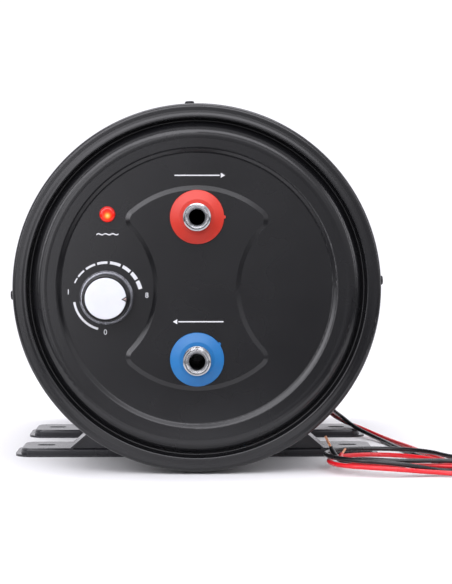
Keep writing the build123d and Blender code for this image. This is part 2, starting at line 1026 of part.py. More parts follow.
# Rubber grommet with one bore for each lead, side by side round the drum
def cable_grommet():
    body = rod(gland_flange_dia, 0, gland_flange) + rod(gland_neck_dia, 0, gland_outer)
    body += rod(gland_dia, -shell_sheet, 0)
    body += rod(gland_flange_dia, -shell_sheet - gland_flange, -shell_sheet)
    for side in (-1, 1):
        body -= Pos(0, side * lead_pitch / 2) * rod(bore_gap, -drum_dia, drum_dia)
    grommet = radial(gland_angle, gland_back, shell_outer) * body
    skins = front * tube(2 * shell_outer, 2 * shell_inner, -drum_length, 0)
    rim = rod(gland_dia, -2 * shell_sheet, 2 * shell_sheet)
    skins -= radial(gland_angle, gland_back, shell_outer) * rim
    return grommet - skins


# A point beside the gland's axis: side is +1 for black, -1 for red
def gland_point(side, distance, back):
    angle = math.radians(gland_angle)
    shift = side * lead_pitch / 2
    x = distance * math.cos(angle) - shift * math.sin(angle)
    z = distance * math.sin(angle) + shift * math.cos(angle)
    return (x, front_y + back, axis_z + z)


def placed(x, back, height):
    return Vector(x, front_y + back, height)


# A node of the hank: its place and the direction of the wire there
def hank_node(k, black):
    angle = math.radians(hank_turn)
    along = Vector(math.cos(angle), math.sin(angle), 0)
    across = Vector(-math.sin(angle), math.cos(angle), 0)
    rising = k <= climb_node
    growth = (k if rising else 2 * climb_node - k) / turn_nodes
    nest = black_nest if black and rising else 0
    layer = 0 if rising else 2 if black else 1
    tip, shoulder, half = red_tip, red_shoulder, red_half + red_step * growth
    shift = 0
    if black:
        tip, shoulder, half = black_tip, black_shoulder, black_half + black_step * growth
        shift = black_shift
    tip += tip_step * growth
    right_tip = near_tip + tip_step * growth - nest
    right_half = near_half + near_step * growth - nest
    waist = waist_half + waist_step * growth - nest
    table = [
        (near_shoulder, right_half, along),
        (right_tip, 0, -across),
        (near_shoulder, -right_half, -along),
        (0, -waist, -along),
        (-shoulder, shift - half, -along),
        (-tip, shift, across),
        (-shoulder, shift + half, along),
        (0, waist, along),
    ]
    run, side, way = table[k % turn_nodes]
    height = tie_sheet + tie_fit + wire_dia / 2 + layer * layer_step
    spot = placed(hank_x, hank_back, height)
    return spot + along * run + across * side, way


# An arc that touches a direction at its start and ends at another point
def tangent_arc(start, way, end):
    chord = end - start
    reach = chord.normalized()
    lean = way - reach * way.dot(reach)
    turn = math.atan2(lean.length, way.dot(reach))
    if math.degrees(turn) < straight_angle:
        return Edge.make_line(start, end)
    rise = chord.length / 2 * math.tan(turn / 2)
    top = (start + end) / 2 + lean.normalized() * rise
    return Edge.make_three_point_arc(start, top, end)


# Two tangent arcs between one node and the next
def biarc(first, second):
    (start, leaving), (end, arriving) = first, second
    span = end - start
    reach = span.dot(leaving + arriving)
    bend = 2 * (1 - leaving.dot(arriving))
    if leaving.get_angle(arriving) < straight_angle:
        arm = span.dot(span) / (2 * reach)
    else:
        arm = (math.sqrt(reach**2 + bend * span.dot(span)) - reach) / bend
    middle = (start + leaving * arm + end - arriving * arm) / 2
    return [tangent_arc(start, leaving, middle), tangent_arc(end, -arriving, middle)]


# The centreline of one wire's turns, from the waist to its loose end
def hank_line(black):
    nodes = [hank_node(k, black) for k in range(first_node, last_node + 1)]
    tail = black_tail if black else red_tail
    ways = black_tail_shares if black else red_tail_shares
    for spot, way in zip(tail, ways):
        nodes.append((placed(*spot), Vector(*way).normalized()))
    edges = []
    for first, second in zip(nodes, nodes[1:]):
        edges += biarc(first, second)
    return Wire(edges)


def even_points(line):
    count = round(line.length / wire_dia * points_per_dia)
    return [line.position_at(i / count) for i in range(count + 1)]


# Least free space between two lines of wire, or of one line to itself
def least_gap(points, others=None):
    apart = []
    skip = 4 * points_per_dia
    for i, point in enumerate(points):
        rest = points[i + skip :] if others is None else others
        apart += [(point - other).length for other in rest]
    return min(apart) - wire_dia


# A lead from the gland to the hank: straight out, bends in the air, then the floor
def lead_line(black):
    side = 1 if black else -1
    start = Vector(*gland_point(side, lead_join, gland_back))
    stub = Vector(*gland_point(side, lead_join + lead_stub, gland_back))
    end, way = hank_node(first_node, black)
    route = black_route if black else red_route
    points = [start, stub] + [placed(*spot) for spot in route]
    points += [end - way * lead_last, end]
    radii = soft_radii([tuple(point) for point in points])
    name = "black" if black else "red"
    print(name, "lead radii", [round(radius, 1) for radius in radii])
    return FilletPolyline(*points, radius=radii)


def copper_end(line):
    end = line @ 1
    return swept(Line(end, end + (line % 1) * copper_length), copper_dia)


# Inside the drum: through the grommet, along the foam's channel, then to a terminal
def inner_lead(side, back, route):
    inside = shell_inner - channel_depth / 2
    points = [
        Vector(*gland_point(side, lead_join, gland_back)),
        Vector(*gland_point(side, inside, gland_back)),
        Vector(*gland_point(side, inside, back)),
    ]
    points += [placed(x, back, axis_z + height) for x, height in route]
    return swept(FilletPolyline(*points, radius=inner_bend), wire_dia)


def inner_black_lead():
    x, height = terminal_spots[0]
    below = height - terminal_dia / 2
    back = -(plug_front + terminal_bush + terminal_length / 2)
    return inner_lead(1, back, [(x, below - boss_dia * 2 / 3), (x, below)])


def inner_red_lead():
    touch = cutout_dia / 2
    angle = math.radians(gland_angle)
    lean = lead_pitch / 2 / touch
    x = touch * math.cos(angle) + touch * lean * math.sin(angle)
    height = touch * math.sin(angle) - touch * lean * math.cos(angle)
    return inner_lead(-1, -(base_bottom + cutout_base / 2), [(x, height)])


# Flat band round the waist, square to the strands there
def hank_tie():
    near_side = waist_half + waist_step * climb_node / turn_nodes
    far_side = waist_half + waist_step * first_node / turn_nodes
    width = near_side + far_side + wire_dia + 2 * tie_fit
    height = 2 * layer_step + wire_dia + 2 * tie_fit
    angle = math.radians(hank_turn)
    along = Vector(math.cos(angle), math.sin(angle), 0)
    across = Vector(-math.sin(angle), math.cos(angle), 0)
    spot = placed(hank_x, hank_back, tie_sheet + height / 2)
    spot += across * (far_side - near_side) / 2
    room = fillet(Rectangle(width, height).vertices(), tie_corner)
    band = offset(room, tie_sheet) - room
    place = Plane(origin=spot, x_dir=across, z_dir=along)
    return extrude(place * band, tie_width / 2, both=True)


save("front_cover", front_cover())
save("rear_cover", rear_cover())
save("front_cover_screws", cover_screws(screw_back))
save("rear_cover_screws", cover_screws(drum_length - screw_back))
save("outer_shell", outer_shell())
front_foot, rear_foot = feet()
save("front_foot", front_foot)
save("rear_foot", rear_foot)
save("foot_rivets", foot_rivets())
tank_ends = (-tank_rear_back, -tank_front_back)
save("tank_shell", front * tube(tank_dia, tank_dia - 2 * tank_sheet, *tank_ends))
save("tank_front_end", tank_front_end())
save("tank_rear_end", rear * Pos(0, 0, tank_rear_back - drum_length) * dished_end())
save("hot_outlet_nipple", front * Pos(*hot) * nipple())
save("cold_inlet_nipple", front * Pos(*cold) * nipple())
save("outlet_pickup", outlet_pickup())
save("inlet_spreader", inlet_spreader())
save("hot_collar", collar(hot, hot_nub_angle))
save("cold_collar", collar(cold, cold_nub_angle))
element_place = front * Pos(element_x, 0)
boss_ends = (boss_end, -boss_front_back)
gasket_ends = (-boss_front_back, gasket_front)
save("element_boss", element_place * tube(boss_dia, boss_bore, *boss_ends))
save("element_gasket", element_place * tube(boss_dia, boss_bore, *gasket_ends))
save("element_plug", element_plug())
save("heating_element", heating_element())
save("terminal_bushes", terminal_bushes())
save("element_terminals", element_terminals())
save("thermostat_body", thermostat_body())
save("thermostat_screws", thermostat_screws())
save("thermostat_spindle", thermostat_spindle())
save("sensor_pocket", sensor_pocket())
save("sensor_bulb", sensor_bulb())
save("capillary_tube", capillary_tube())
save("knob_body", knob_body())
save("knob_face", knob_face())
save("knob_pointer", knob_pointer())
save("lamp_lens", lamp_lens())
save("lamp_body", lamp_body())
save("lamp_clip", lamp_clip())
save("cutout_cup", cutout_cup_piece())
save("cutout_body", cutout_body())
save("reset_button", reset_button())
save("cutout_strap", cutout_strap())
save("cutout_studs", cutout_studs())
save("cutout_nuts", cutout_nuts())
save("insulation_jacket", foam_jacket())
save("insulation_disc", foam_disc())
save("cable_grommet", cable_grommet())
save("inner_red_lead", inner_red_lead())
save("inner_black_lead", inner_black_lead())

wire_points = {}
section = math.pi * wire_dia**2 / 4
for name, black in (("red", False), ("black", True)):
    lead = lead_line(black)
    hank = hank_line(black)
    lead_solid = swept(lead, wire_dia)
    hank_solid = swept(hank, wire_dia)
    save(f"{name}_lead", lead_solid)
    save(f"{name}_hank", hank_solid)
    save(f"{name}_copper_end", copper_end(hank))
    print(name, "lead length", round(lead.length, 1), "hank length", round(hank.length, 1))
    print("  volume over section times length, lead", lead_solid.volume / section / lead.length)
    print("  volume over section times length, hank", hank_solid.volume / section / hank.length)
    print("  least gap of the hank to itself", least_gap(even_points(hank)))
    wire_points[name] = even_points(lead) + even_points(hank)
save("hank_tie", hank_tie())
print("least gap of red to black", least_gap(wire_points["red"], wire_points["black"]))
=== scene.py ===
import math

import bpy
from mathutils import Matrix, Vector


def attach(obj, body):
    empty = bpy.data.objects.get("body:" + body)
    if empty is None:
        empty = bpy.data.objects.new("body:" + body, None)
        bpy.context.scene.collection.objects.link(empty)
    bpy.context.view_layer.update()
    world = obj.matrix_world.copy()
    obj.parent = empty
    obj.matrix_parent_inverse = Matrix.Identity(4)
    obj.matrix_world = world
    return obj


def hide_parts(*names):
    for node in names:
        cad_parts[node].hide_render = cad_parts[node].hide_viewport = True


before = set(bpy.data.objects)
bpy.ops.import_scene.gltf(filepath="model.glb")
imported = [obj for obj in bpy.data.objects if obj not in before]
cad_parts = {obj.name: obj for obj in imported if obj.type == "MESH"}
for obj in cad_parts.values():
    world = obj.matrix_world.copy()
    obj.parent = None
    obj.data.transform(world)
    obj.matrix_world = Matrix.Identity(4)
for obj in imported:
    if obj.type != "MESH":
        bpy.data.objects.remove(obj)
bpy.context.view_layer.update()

# Shared places of the frame, in metres
mm = 0.001
frontY = -187 * mm  # the front cover's rim plane
rearY = 213 * mm
axisZ = 142 * mm  # the drum's axis

# Heights out of the rim plane, in millimetres
panelOut = -1.0
hourglassOut = 0.8


def frontPoint(x, z, out=0.0):
    # A place on the front: millimetres sideways and up from the axis, and out of the rim plane
    return Vector((x * mm, frontY - out * mm, axisZ + z * mm))


cameraSettings = {
    "distance": 1440 * mm,  # from the front rim plane
    "height": 201 * mm,
    "sideways": 0.0,
    "pitch": 2.457,  # degrees down
    "yaw": 0.873,  # degrees to the right
    "sensor": 36,  # millimetres, like the lens
    "lens": 117.25,
    "near": 0.05,
    "far": 30,
}


def placeCamera(settings):
    spot = (settings["sideways"], frontY - settings["distance"], settings["height"])
    turn = (math.radians(90 - settings["pitch"]), 0, math.radians(-settings["yaw"]))
    bpy.ops.object.camera_add(location=spot, rotation=turn)
    camera = bpy.context.object
    camera.name = "photoCamera"
    camera.data.sensor_width = settings["sensor"]
    camera.data.lens = settings["lens"]
    camera.data.clip_start = settings["near"]
    camera.data.clip_end = settings["far"]
    bpy.context.scene.camera = camera


placeCamera(cameraSettings)
print("camera placed")


# Colours are sRGB hex values, turned to linear by the curve of that standard
def colour(hexValue):
    parts = [int(hexValue[i : i + 2], 16) / 255 for i in (1, 3, 5)]
    line = [p / 12.92 if p <= 0.04045 else ((p + 0.055) / 1.055) ** 2.4 for p in parts]
    return (*line, 1.0)


def addNode(tree, kind, settings=None, links=None):
    node = tree.nodes.new(kind)
    for name, value in (settings or {}).items():
        if name in node.inputs:
            node.inputs[name].default_value = value
        else:
            setattr(node, name, value)
    for name, source in (links or {}).items():
        tree.links.new(source, node.inputs[name])
    return node


patternSettings = {
    "patchDetail": 3.0,
    "patchRoughness": 0.55,
    "patchEdges": (0.35, 0.65),  # noise values where one colour ends and the other begins
    "grainDetail": 2.0,
}


# One finish: two close colours in soft patches, a sheen that drifts with them, a fine grain
def makeFinish(name, look):
    material = bpy.data.materials.new(name)
    material.use_nodes = True
    tree = material.node_tree
    shader = tree.nodes["Principled BSDF"]
    place = addNode(tree, "ShaderNodeTexCoord").outputs["Object"]
    patches = addNode(tree, "ShaderNodeTexNoise", {
        "Scale": 1 / (look["patchSize"] * mm),
        "Detail": patternSettings["patchDetail"],
        "Roughness": patternSettings["patchRoughness"],
    }, {"Vector": place}).outputs["Fac"]
    low, high = patternSettings["patchEdges"]
    spread = addNode(
        tree, "ShaderNodeMapRange", {"From Min": low, "From Max": high}, {"Value": patches}
    )
    mix = addNode(tree, "ShaderNodeMix", {"data_type": "RGBA"})
    first, second, blend = mix.inputs[6], mix.inputs[7], mix.outputs[2]  # its colour sockets
    first.default_value = colour(look["colour"])
    second.default_value = colour(look["second"])
    tree.links.new(spread.outputs["Result"], mix.inputs["Factor"])
    tree.links.new(blend, shader.inputs["Base Color"])
    sheen = addNode(tree, "ShaderNodeMapRange", {
        "To Min": look["roughness"] - look["drift"],
        "To Max": look["roughness"] + look["drift"],
    }, {"Value": patches})
    tree.links.new(sheen.outputs["Result"], shader.inputs["Roughness"])
    stretch = look.get("stretch", (1, 1, 1))
    grainPlace = addNode(tree, "ShaderNodeMapping", {"Scale": stretch}, {"Vector": place})
    grain = addNode(tree, "ShaderNodeTexNoise", {
        "Scale": 1 / (look["grainSize"] * mm), "Detail": patternSettings["grainDetail"],
    }, {"Vector": grainPlace.outputs["Vector"]})
    bump = addNode(tree, "ShaderNodeBump", {
        "Strength": look["grainStrength"], "Distance": look["grainDepth"] * mm,
    }, {"Height": grain.outputs["Fac"]})
    tree.links.new(bump.outputs["Normal"], shader.inputs["Normal"])
    for socket, value in look.get("sockets", {}).items():
        shader.inputs[socket].default_value = value
    material.diffuse_color = colour(look["colour"])
    return material


finishLooks = {
    # Polyester powder coat on pressed steel: satin black with a faint orange peel
    "powderCoatedSteel": {
        "colour": "#0F0F11", "second": "#131315", "patchSize": 60, "roughness": 0.27,
        "drift": 0.03, "grainSize": 1.1, "grainDepth": 0.05, "grainStrength": 0.35,
        "sockets": {"IOR": 1.5},
    },
    # The same coat on the feet, painted lighter: a painted sheen for the sky reflected on their
    # tops
    "footCoatPaintedSheen": {
        "colour": "#202024", "second": "#26262A", "patchSize": 30, "roughness": 0.26,
        "drift": 0.05, "grainSize": 1.1, "grainDepth": 0.05, "grainStrength": 0.35,
        "sockets": {"IOR": 1.5},
    },
    # Black oxide screws: dark, slightly oily steel
    "blackenedSteel": {
        "colour": "#1B1B1D", "second": "#242426", "patchSize": 4, "roughness": 0.35,
        "drift": 0.05, "grainSize": 0.4, "grainDepth": 0.02, "grainStrength": 0.4,
        "sockets": {"Metallic": 0.6},
    },
    # Bright zinc plate on steel: light grey metal, cloudy
    "zincPlatedSteel": {
        "colour": "#B4B8BC", "second": "#C4C6C8", "patchSize": 6, "roughness": 0.30,
        "drift": 0.06, "grainSize": 0.5, "grainDepth": 0.02, "grainStrength": 0.3,
        "sockets": {"Metallic": 1.0},
    },
    # Stainless sheet with a mill finish, drawn along its length
    "rolledStainless": {
        "colour": "#B0B1B2", "second": "#BBBCBD", "patchSize": 40, "roughness": 0.28,
        "drift": 0.05, "grainSize": 0.6, "grainDepth": 0.01, "grainStrength": 0.4,
        "stretch": (1, 0.05, 1), "sockets": {"Metallic": 1.0},
    },
    # Turned stainless bar: fine rings round its axis that streak the light
    "turnedStainless": {
        "colour": "#AEAFB1", "second": "#B8B9BB", "patchSize": 8, "roughness": 0.24,
        "drift": 0.04, "grainSize": 0.8, "grainDepth": 0.008, "grainStrength": 0.4,
        "stretch": (0.1, 6, 0.1), "sockets": {"Metallic": 1.0},
    },
    # Moulded red ABS with a fine spark-eroded texture
    "mouldedRedAbs": {
        "colour": "#C42C1C", "second": "#C83222", "patchSize": 18, "roughness": 0.42,
        "drift": 0.03, "grainSize": 0.5, "grainDepth": 0.03, "grainStrength": 0.3,
        "sockets": {"Subsurface Weight": 0.05, "Subsurface Scale": 0.004},
    },
    # Moulded blue ABS, the same tool
    "mouldedBlueAbs": {
        "colour": "#0A64A2", "second": "#0E6AA8", "patchSize": 18, "roughness": 0.42,
        "drift": 0.03, "grainSize": 0.5, "grainDepth": 0.03, "grainStrength": 0.3,
        "sockets": {"Subsurface Weight": 0.05, "Subsurface Scale": 0.004},
    },
    # Polished black ABS: glossy, with soft sink marks
    "polishedBlackAbs": {
        "colour": "#0B0B0D", "second": "#101012", "patchSize": 12, "roughness": 0.18,
        "drift": 0.04, "grainSize": 2.5, "grainDepth": 0.02, "grainStrength": 0.2,
    },
    # White ABS insert, glossy and very slightly blue
    "polishedWhiteAbs": {
        "colour": "#D4D6DB", "second": "#CFD1D6", "patchSize": 14, "roughness": 0.25,
        "drift": 0.03, "grainSize": 2.0, "grainDepth": 0.01, "grainStrength": 0.2,
        "sockets": {"Subsurface Weight": 0.05, "Subsurface Scale": 0.003},
    },
    # Metallised plastic marker with a warm, slightly pink film
    "metallisedPlastic": {
        "colour": "#9C8A8A", "second": "#B09C9A", "patchSize": 3, "roughness": 0.25,
        "drift": 0.05, "grainSize": 0.5, "grainDepth": 0.01, "grainStrength": 0.3,
        "sockets": {"Metallic": 0.85},
    },
    # White screen-printing ink: a thin matt film
    "printedWhiteInk": {
        "colour": "#D9DADC", "second": "#CFD0D3", "patchSize": 2, "roughness": 0.55,
        "drift": 0.05, "grainSize": 0.3, "grainDepth": 0.01, "grainStrength": 0.3,
    },
    # Brass, machined and slightly dull
    "machinedBrass": {
        "colour": "#B8924A", "second": "#C49E55", "patchSize": 10, "roughness": 0.30,
        "drift": 0.06, "grainSize": 0.7, "grainDepth": 0.02, "grainStrength": 0.4,
        "sockets": {"Metallic": 1.0},
    },
    # Bare stranded copper, bright where it was just stripped
    "bareCopper": {
        "colour": "#DB9A74", "second": "#E8B08C", "patchSize": 2, "roughness": 0.32,
        "drift": 0.06, "grainSize": 0.3, "grainDepth": 0.01, "grainStrength": 0.3,
        "sockets": {"Metallic": 0.9},
    },
    # Die-cast aluminium cap
    "castAluminium": {
        "colour": "#BFC1C3", "second": "#C9CBCC", "patchSize": 5, "roughness": 0.38,
        "drift": 0.05, "grainSize": 0.5, "grainDepth": 0.03, "grainStrength": 0.4,
        "sockets": {"Metallic": 1.0},
    },
    # Polyurethane foam: cream, with fine cells
    "foamedPolyurethane": {
        "colour": "#D8C796", "second": "#CDB984", "patchSize": 15, "roughness": 0.85,
        "drift": 0.05, "grainSize": 1.0, "grainDepth": 0.3, "grainStrength": 0.8,
    },
    # Moulded nitrile rubber
    "mouldedRubber": {
        "colour": "#161618", "second": "#1C1C1E", "patchSize": 8, "roughness": 0.60,
        "drift": 0.05, "grainSize": 0.5, "grainDepth": 0.04, "grainStrength": 0.5,
    },
    # Extruded red PVC insulation: smooth and glossy, drawn along the wire
    "extrudedRedPvc": {
        "colour": "#C8141F", "second": "#D01A24", "patchSize": 20, "roughness": 0.28,
        "drift": 0.04, "grainSize": 3, "grainDepth": 0.04, "grainStrength": 0.25,
        "sockets": {"Subsurface Weight": 0.08, "Subsurface Scale": 0.002},
    },
    # Extruded black PVC insulation, the same line
    "extrudedBlackPvc": {
        "colour": "#141416", "second": "#19191B", "patchSize": 20, "roughness": 0.27,
        "drift": 0.04, "grainSize": 3, "grainDepth": 0.04, "grainStrength": 0.25,
    },
    # Black ABS ring with a satin silver film, worn thin
    "metallisedRing": {
        "colour": "#A2A3A9", "second": "#ABACB2", "patchSize": 8, "roughness": 0.24,
        "drift": 0.03, "grainSize": 3.0, "grainDepth": 0.005, "grainStrength": 0.05,
        "sockets": {"Metallic": 0.9},
    },
    # Rolled white paper of the studio, matt
    "whitePaperFloor": {
        "colour": "#E2E2E2", "second": "#E4E4E4", "patchSize": 400, "roughness": 0.8,
        "drift": 0.03, "grainSize": 2, "grainDepth": 0.01, "grainStrength": 0.1,
    },
}
finishes = {name: makeFinish(name, look) for name, look in finishLooks.items()}

# Red polycarbonate lens over a lit neon lamp: bright red, with a yellow-white spot low down
lensSettings = {
    "look": {
        "colour": "#A0120A", "second": "#A81A10", "patchSize": 5, "roughness": 0.12,
        "drift": 0.02, "grainSize": 1.5, "grainDepth": 0.02, "grainStrength": 0.2,
    },
    "spot": (-67.6, 197.0),  # sideways from the axis and up from the floor
    "reach": 6,
    "middle": "#FFE9A8",
    "rings": ((0.20, "#FFC648"), (0.38, "#FF6420"), (0.60, "#E8200E")),
    "edge": "#8E0D07",
    "strength": 0.9,
}


def makeLensFinish(name, lens):
    material = makeFinish(name, lens["look"])
    tree = material.node_tree
    shader = tree.nodes["Principled BSDF"]
    x, z = lens["spot"]
    place = addNode(tree, "ShaderNodeTexCoord").outputs["Object"]
    moved = addNode(
        tree, "ShaderNodeMapping", {"Location": (-x * mm, 0, -z * mm)}, {"Vector": place}
    )
    split = addNode(tree, "ShaderNodeSeparateXYZ", {}, {"Vector": moved.outputs["Vector"]})
    flat = addNode(
        tree, "ShaderNodeCombineXYZ", {}, {"X": split.outputs["X"], "Z": split.outputs["Z"]}
    )
    away = addNode(
        tree, "ShaderNodeVectorMath", {"operation": "LENGTH"}, {"Vector": flat.outputs["Vector"]}
    )
    share = addNode(
        tree, "ShaderNodeMapRange", {"From Max": lens["reach"] * mm},
        {"Value": away.outputs["Value"]},
    )
    glow = addNode(tree, "ShaderNodeValToRGB", {}, {"Fac": share.outputs["Result"]})
    stops = glow.color_ramp.elements
    stops[0].color = colour(lens["middle"])
    stops[1].color = colour(lens["edge"])
    for position, hexValue in lens["rings"]:
        stops.new(position).color = colour(hexValue)
    tree.links.new(glow.outputs["Color"], shader.inputs["Emission Color"])
    shader.inputs["Emission Strength"].default_value = lens["strength"]
    return material


finishes["litRedPolycarbonate"] = makeLensFinish("litRedPolycarbonate", lensSettings)

nodeFinishes = {
    "powderCoatedSteel": ["front_cover", "rear_cover", "outer_shell"],
    # The feet take the coat painted lighter, a painted sheen for the sky reflected on their tops
    "footCoatPaintedSheen": ["front_foot", "rear_foot"],
    "blackenedSteel": ["front_cover_screws", "rear_cover_screws"],
    "zincPlatedSteel": [
        "foot_rivets", "element_terminals", "thermostat_screws", "lamp_clip",
        "cutout_strap", "cutout_studs", "cutout_nuts",
    ],
    "rolledStainless": [
        "tank_shell", "tank_front_end", "tank_rear_end", "outlet_pickup",
        "inlet_spreader", "element_boss", "heating_element", "sensor_pocket",
    ],
    "turnedStainless": ["hot_outlet_nipple", "cold_inlet_nipple"],
    "mouldedRedAbs": ["hot_collar", "reset_button"],
    "mouldedBlueAbs": ["cold_collar"],
    "polishedBlackAbs": ["knob_body", "thermostat_body", "cutout_body", "hank_tie"],
    "polishedWhiteAbs": ["knob_face", "lamp_body", "terminal_bushes"],
    "metallisedPlastic": ["knob_pointer"],
    "machinedBrass": ["element_plug", "thermostat_spindle"],
    "bareCopper": ["sensor_bulb", "capillary_tube", "red_copper_end", "black_copper_end"],
    "castAluminium": ["cutout_cup"],
    "foamedPolyurethane": ["insulation_jacket", "insulation_disc"],
    "mouldedRubber": ["element_gasket", "cable_grommet"],
    "extrudedRedPvc": ["inner_red_lead", "red_lead", "red_hank"],
    "extrudedBlackPvc": ["inner_black_lead", "black_lead", "black_hank"],
    "litRedPolycarbonate": ["lamp_lens"],
}
for finishName, nodeNames in nodeFinishes.items():
    for nodeName in nodeNames:
        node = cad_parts[nodeName]
        if not node.material_slots:
            node.data.materials.append(finishes[finishName])
        for materialSlot in node.material_slots:
            materialSlot.material = finishes[finishName]
print("finishes given to the frame's nodes")


# Small tools for new pieces
weldReach = 0.002 * mm  # points closer than this become one
nearlyStraight = math.radians(179)


def choose(*pieces):
    bpy.ops.object.select_all(action="DESELECT")
    for piece in pieces:
        piece.select_set(True)
    bpy.context.view_layer.objects.active = pieces[0]


def startPiece(name, kind, settings):
    bpy.ops.object.select_all(action="DESELECT")
    getattr(bpy.ops.mesh, f"primitive_{kind}_add")(**settings)
    piece = bpy.context.object
    piece.name = name
    return piece


def copyPiece(piece):
    choose(piece)
    bpy.ops.object.duplicate()
    return bpy.context.object


def applyPlace(piece):
    choose(piece)
    bpy.ops.object.transform_apply(location=True, rotation=True, scale=True)


def useModifier(piece, name):
    choose(piece)
    bpy.ops.object.modifier_apply(modifier=name)


def edit(piece):
    choose(piece)
    bpy.ops.object.mode_set(mode="EDIT")
    bpy.ops.mesh.select_mode(type="VERT")
    bpy.ops.mesh.select_all(action="SELECT")


def closePiece(piece, finish, body="heater", smooth=40):
    bpy.ops.mesh.select_all(action="SELECT")
    bpy.ops.mesh.remove_doubles(threshold=weldReach)
    bpy.ops.mesh.normals_make_consistent(inside=False)
    bpy.ops.object.mode_set(mode="OBJECT")
    bpy.ops.object.shade_smooth_by_angle(angle=math.radians(smooth))
    piece.data.materials.clear()
    piece.data.materials.append(finishes[finish])
    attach(piece, body)


def joinPieces(pieces, name):
    choose(*pieces)
    bpy.ops.object.join()
    pieces[0].name = name
    return pieces[0]


# A line drawn point by point from one vertex, to be spun or wound
def drawLine(name, spots):
    piece = startPiece(name, "plane", {"size": 1 * mm})
    edit(piece)
    bpy.ops.mesh.merge(type="CENTER")
    bpy.ops.transform.translate(value=spots[0])
    for before, here in zip(spots, spots[1:]):
        bpy.ops.mesh.extrude_region_move(TRANSFORM_OT_translate={"value": here - before})
    bpy.ops.mesh.select_all(action="SELECT")
    return piece


# A turned piece: an outline of radius and height out of the rim plane, spun round the line
# that runs out of the front at a place beside the drum's axis
def turnPiece(name, outline, centre, steps):
    spots = [frontPoint(centre[0] + r, centre[1], out) for r, out in outline]
    piece = drawLine(name, spots)
    bpy.ops.mesh.spin(
        steps=steps, angle=math.tau, center=frontPoint(*centre), axis=(0, -1, 0)
    )
    return piece


# Rounds the corners of an outline with short chords of an arc
def rounded(points, radii, chords):
    line = [points[0]]
    for before, here, after, radius in zip(points, points[1:], points[2:], radii):
        corner = Vector(here)
        back, on = (Vector(before) - corner), (Vector(after) - corner)
        turn = back.angle(on)
        if radius == 0 or turn > nearlyStraight:
            line.append(here)
            continue
        cut = radius / math.tan(turn / 2)
        first = corner + back.normalized() * cut
        last = corner + on.normalized() * cut
        inward = (back.normalized() + on.normalized()).normalized()
        middle = corner + inward * (radius / math.sin(turn / 2))
        for i in range(chords + 1):
            way = (first - middle).lerp(last - middle, i / chords).normalized()
            line.append(tuple(middle + way * radius))
    line.append(points[-1])
    return line


# A place round a centre, by radius and degrees
def around(centre, radius, degrees):
    turn = math.radians(degrees)
    return (centre[0] + radius * math.cos(turn), centre[1] + radius * math.sin(turn))


# Leads: the free stretch and the tied hank are one spline
leadSettings = {
    "diameter": 3.6,
    "roundness": 5,  # how finely the curve's section and its length are divided
    "samples": 10,
    "black": {
        "finish": "extrudedBlackPvc",
        "slot": "black_pvc",
        "length": 1.109,
        "copper": "black_copper_end",
        "route": [
            (103.87, 335.0, 41.66), (112.36, 335.0, 33.18), (118.5, 321.0, 24.5),
            (125.0, 298.0, 17.5), (130.6, 268.0, 15.0), (138.0, 247.0, 9.6),
            (150.0, 226.0, 4.5), (162.0, 190.0, 1.8), (168.5, 150.0, 1.8),
            (176.0, 110.0, 1.8), (186.0, 75.0, 1.8), (193.0, 40.0, 1.8),
        ],
        "tail": [  # places past the hank, each with the way that the lead runs there
            ((108.0, 18.0, 10.6), (-0.2, 0.9, 0.25)), ((103.9, 30.0, 17.0), (-0.35, 0.6, 0.72)),
        ],
        "tip": 121.0, "shoulder": 76.0, "half": 38.0, "step": 10.0, "shift": 4.0,
        "nest": 8.0, "layer": 2,
    },
    "red": {
        "finish": "extrudedRedPvc",
        "slot": "red_pvc",
        "length": 1.115,
        "copper": "red_copper_end",
        "route": [
            (100.34, 335.0, 38.13), (108.83, 335.0, 29.64), (116.5, 322.0, 19.5),
            (125.5, 295.0, 12.4), (136.0, 263.0, 9.6), (146.0, 242.0, 7.6),
            (158.8, 228.0, 3.0), (169.0, 192.0, 1.8), (179.5, 152.0, 1.8),
            (187.0, 112.0, 1.8), (196.0, 78.0, 1.8), (200.5, 46.0, 1.8),
        ],
        "tail": [((113.0, 38.0, 10.5), (0.3, 0.9, 0.25))],
        "tip": 116.0, "shoulder": 82.0, "half": 36.0, "step": 20.0, "shift": 0.0,
        "nest": 0.0, "layer": 1,
    },
}
# The hank: flat loops, drawn in at a waist where the tie is, with the short end to the right
hankSettings = {
    "x": 212.0, "back": -9.0, "turn": -26.0, "lift": 2.95, "layerStep": 4.2,
    "nearTip": 66.0, "nearShoulder": 34.0, "nearHalf": 26.0, "nearStep": 8.0,
    "waistHalf": 12.0, "waistStep": 10.0, "tipStep": 10.0,
    "turnNodes": 8, "firstNode": -1, "climbNode": 3, "lastNode": 12,
    "reach": 0.28,  # how far the control points stand from each node, as a share of the run
}


def backPoint(x, back, height):
    return Vector((x * mm, frontY + back * mm, height * mm))


def hankNode(k, wire, hank):
    angle = math.radians(hank["turn"])
    along = Vector((math.cos(angle), math.sin(angle), 0))
    across = Vector((-math.sin(angle), math.cos(angle), 0))
    rising = k <= hank["climbNode"]
    growth = (k if rising else 2 * hank["climbNode"] - k) / hank["turnNodes"]
    nest = wire["nest"] if rising else 0
    layer = 0 if rising else wire["layer"]
    tip = wire["tip"] + hank["tipStep"] * growth
    half = wire["half"] + wire["step"] * growth
    rightTip = hank["nearTip"] + hank["tipStep"] * growth - nest
    rightHalf = hank["nearHalf"] + hank["nearStep"] * growth - nest
    waist = hank["waistHalf"] + hank["waistStep"] * growth - nest
    shift = wire["shift"]
    table = [
        (hank["nearShoulder"], rightHalf, along),
        (rightTip, 0, -across),
        (hank["nearShoulder"], -rightHalf, -along),
        (0, -waist, -along),
        (-wire["shoulder"], shift - half, -along),
        (-tip, shift, across),
        (-wire["shoulder"], shift + half, along),
        (0, waist, along),
    ]
    run, side, way = table[k % hank["turnNodes"]]
    spot = backPoint(hank["x"], hank["back"], hank["lift"] + layer * hank["layerStep"])
    return spot + along * run * mm + across * side * mm, way


